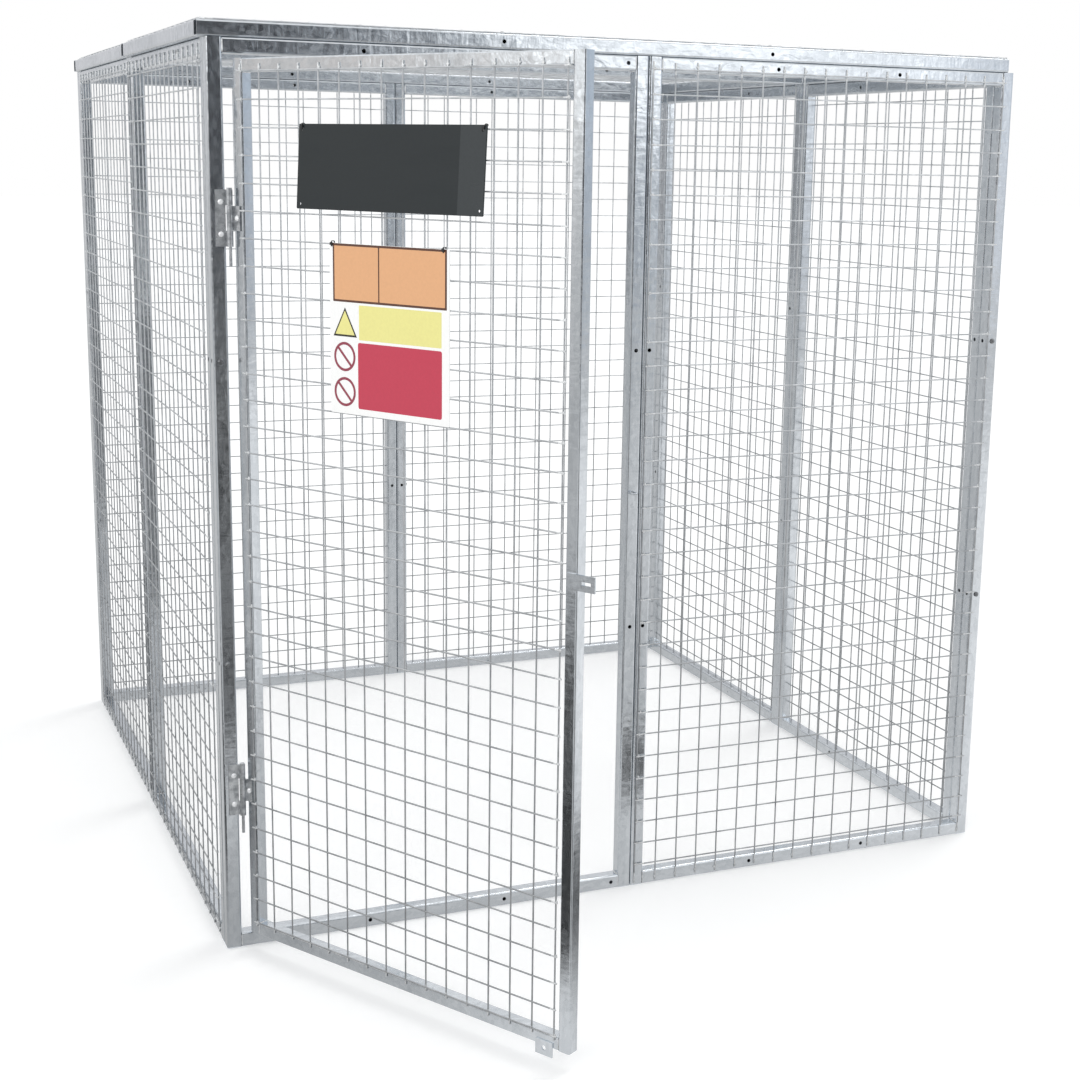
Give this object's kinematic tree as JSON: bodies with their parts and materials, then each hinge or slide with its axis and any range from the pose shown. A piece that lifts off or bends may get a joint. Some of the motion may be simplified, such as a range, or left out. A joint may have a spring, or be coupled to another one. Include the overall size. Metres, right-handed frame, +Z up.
{
  "type": "collapsible gas cylinder cage",
  "caption": "Collapsible gas cylinder storage cage: bolted box-section panels with weld mesh walls and roof, and a hinged door with hasp and staple.",
  "frame": {"origin": "middle of the footprint in the rest pose, door open, at floor level", "axes": "+Z up, the front wall with the doorway faces -Y, +X to the right seen from the front"},
  "size_m": [1.8214, 2.557, 1.8361],
  "materials": {
    "galvanised_tube": "hot-dip galvanised box section, light grey with soft spangle",
    "galvanised_mesh": "galvanised weld mesh, satin grey",
    "zinc_fastener": "bright zinc plate",
    "hinge_steel": "galvanised hinge steel, mid grey",
    "black_board": "blank black board, satin",
    "white_board": "white board with fields of plain colour and no lettering",
    "black_nylon": "black nylon cable tie"
  },
  "bodies": {
    "cage": {"back_left_frame": "galvanised_tube", "back_left_mesh": "galvanised_mesh", "back_right_frame": "galvanised_tube", "back_right_mesh": "galvanised_mesh", "corner_bolt_back_left_high": "zinc_fastener", "corner_bolt_back_left_low": "zinc_fastener", "corner_bolt_back_right_high": "zinc_fastener", "corner_bolt_back_right_low": "zinc_fastener", "corner_bolt_front_left_high": "zinc_fastener", "corner_bolt_front_left_low": "zinc_fastener", "corner_bolt_front_right_high": "zinc_fastener", "corner_bolt_front_right_low": "zinc_fastener", "door_surround": "galvanised_tube", "front_right_frame": "galvanised_tube", "front_right_mesh": "galvanised_mesh", "hinge_lower_fixed_leaf": "hinge_steel", "hinge_lower_pin": "hinge_steel", "hinge_lower_post_bolt_high": "zinc_fastener", "hinge_lower_post_bolt_low": "zinc_fastener", "hinge_upper_fixed_leaf": "hinge_steel", "hinge_upper_pin": "hinge_steel", "hinge_upper_post_bolt_high": "zinc_fastener", "hinge_upper_post_bolt_low": "zinc_fastener", "joint_bolt_back_high": "zinc_fastener", "joint_bolt_back_low": "zinc_fastener", "joint_bolt_front_high": "zinc_fastener", "joint_bolt_front_low": "zinc_fastener", "joint_bolt_left_high": "zinc_fastener", "joint_bolt_left_low": "zinc_fastener", "joint_bolt_right_high": "zinc_fastener", "joint_bolt_right_low": "zinc_fastener", "left_front_frame": "galvanised_tube", "left_front_mesh": "galvanised_mesh", "left_rear_frame": "galvanised_tube", "left_rear_mesh": "galvanised_mesh", "lock_staple": "zinc_fastener", "right_front_frame": "galvanised_tube", "right_front_mesh": "galvanised_mesh", "right_rear_frame": "galvanised_tube", "right_rear_mesh": "galvanised_mesh", "roof_front_bolt_left": "zinc_fastener", "roof_front_bolt_right": "zinc_fastener", "roof_front_frame": "galvanised_tube", "roof_front_mesh": "galvanised_mesh", "roof_rear_bolt_left": "zinc_fastener", "roof_rear_bolt_right": "zinc_fastener", "roof_rear_frame": "galvanised_tube", "roof_rear_mesh": "galvanised_mesh"},
    "door": {"door_frame": "galvanised_tube", "door_hasp": "galvanised_tube", "door_mesh": "galvanised_mesh", "door_stop_tab": "galvanised_tube", "hazard_board": "white_board", "hinge_lower_door_bolt": "zinc_fastener", "hinge_lower_moving_leaf": "hinge_steel", "hinge_upper_door_bolt": "zinc_fastener", "hinge_upper_moving_leaf": "hinge_steel", "name_plate": "black_board", "name_plate_tie_left": "black_nylon", "name_plate_tie_right": "black_nylon"}
  },
  "joints": [
    {"name": "door_hinge", "type": "hinge", "parent": "cage", "child": "door", "pos_m": [-0.85915, -0.53532, 0.905], "axis": [0, 0, -1], "range_deg": [-59.8, 105.2]}
  ]
}
